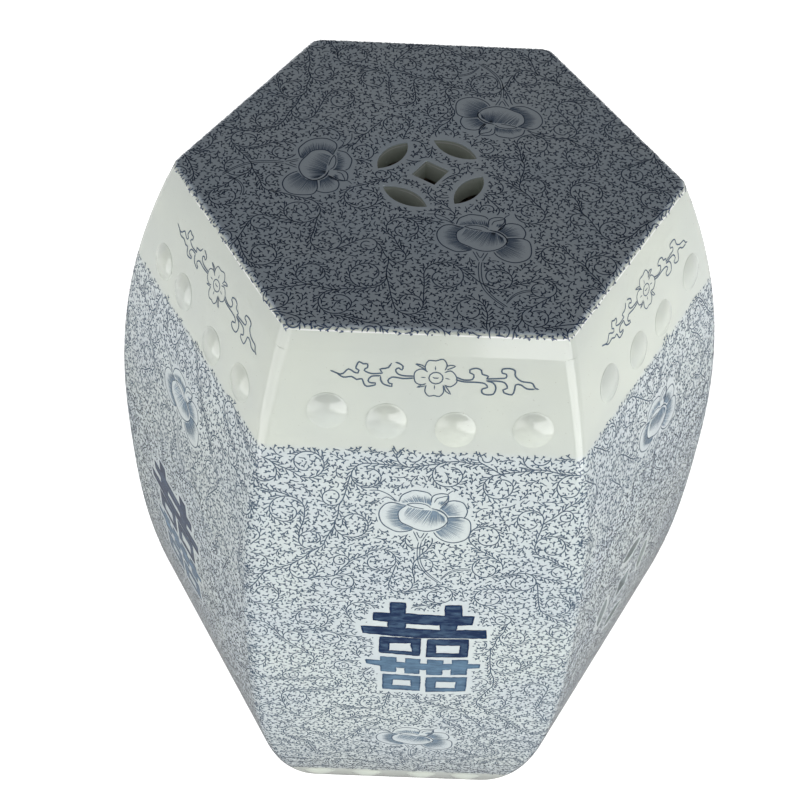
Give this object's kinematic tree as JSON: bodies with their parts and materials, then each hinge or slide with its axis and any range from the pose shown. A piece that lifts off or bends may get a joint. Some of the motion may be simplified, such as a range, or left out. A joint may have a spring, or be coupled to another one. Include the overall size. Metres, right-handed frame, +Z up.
{
  "type": "ceramic garden stool",
  "caption": "Hexagonal barrel-shaped porcelain garden stool with a pierced coin in the seat and in two walls, plain bands with domed bosses, and blue scrolling vine painting.",
  "frame": {"origin": "middle of the foot on the floor", "axes": "+Z up; the front wall faces -Y; +X is to the right seen from the front"},
  "size_m": [0.3556, 0.3102, 0.46],
  "materials": {
    "painted_glaze": "cobalt scrolling vine painted on white porcelain under a clear gloss glaze",
    "plain_glaze": "plain pale gloss glaze",
    "bare_clay": "unglazed fired clay, matt"
  },
  "bodies": {
    "root": {"seat_slab": "painted_glaze", "wall_front": "painted_glaze", "wall_front_right": "painted_glaze", "wall_back_right": "painted_glaze", "wall_back": "painted_glaze", "wall_back_left": "painted_glaze", "wall_front_left": "painted_glaze", "upper_bosses_front": "plain_glaze", "lower_bosses_front": "plain_glaze", "upper_bosses_front_right": "plain_glaze", "lower_bosses_front_right": "plain_glaze", "upper_bosses_back_right": "plain_glaze", "lower_bosses_back_right": "plain_glaze", "upper_bosses_back": "plain_glaze", "lower_bosses_back": "plain_glaze", "upper_bosses_back_left": "plain_glaze", "lower_bosses_back_left": "plain_glaze", "upper_bosses_front_left": "plain_glaze", "lower_bosses_front_left": "plain_glaze", "foot_ring": "bare_clay", "seat_seam_coil": "bare_clay", "corner_coil_right": "bare_clay", "corner_coil_back_right": "bare_clay", "corner_coil_back_left": "bare_clay", "corner_coil_left": "bare_clay", "corner_coil_front_left": "bare_clay", "corner_coil_front_right": "bare_clay"}
  },
  "joints": []
}
